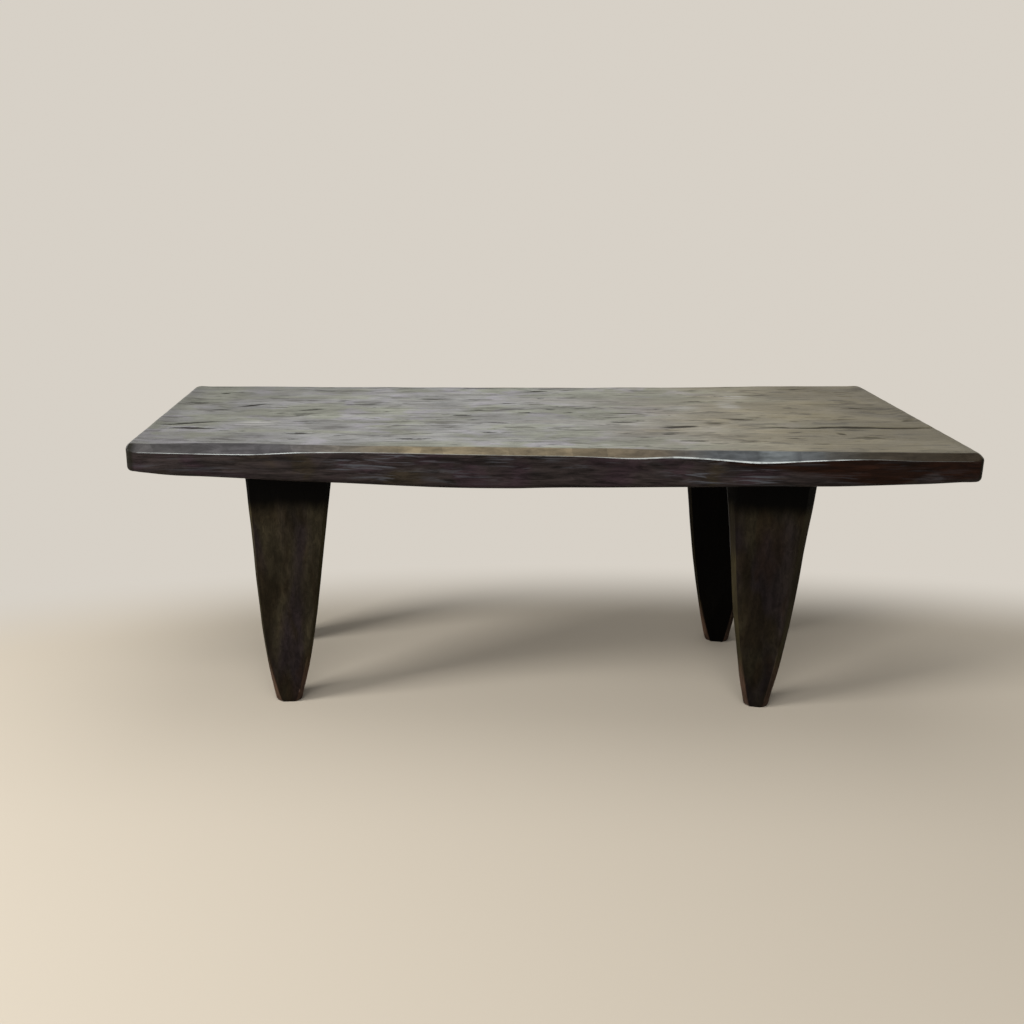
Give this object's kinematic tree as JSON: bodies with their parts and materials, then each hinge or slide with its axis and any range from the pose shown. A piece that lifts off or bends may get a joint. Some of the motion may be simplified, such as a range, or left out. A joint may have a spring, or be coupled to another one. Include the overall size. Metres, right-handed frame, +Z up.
{
  "type": "daybed",
  "caption": "Low hewn daybed: a thick, slightly uneven plank with bevelled edges on tapered bullet-shaped legs, tenoned into its underside.",
  "frame": {"origin": "on the floor, under the middle of the plank's bounding box", "axes": "+X along the plank from the narrower end to the wider one, +Y to the back, +Z up"},
  "size_m": [1.2396, 0.528, 0.45],
  "materials": {
    "plank_wood": "dark hardwood, worn to a dull grey-brown sheen",
    "leg_wood": "near-black hewn hardwood, satin",
    "wedge_wood": "split hardwood, dry"
  },
  "bodies": {
    "root": {"plank": "plank_wood", "front_left_leg": "leg_wood", "front_right_leg": "leg_wood", "back_left_leg": "leg_wood", "back_right_leg": "leg_wood", "front_left_tenon_wedge": "wedge_wood", "front_right_tenon_wedge": "wedge_wood", "back_left_tenon_wedge": "wedge_wood", "back_right_tenon_wedge": "wedge_wood"}
  },
  "joints": []
}
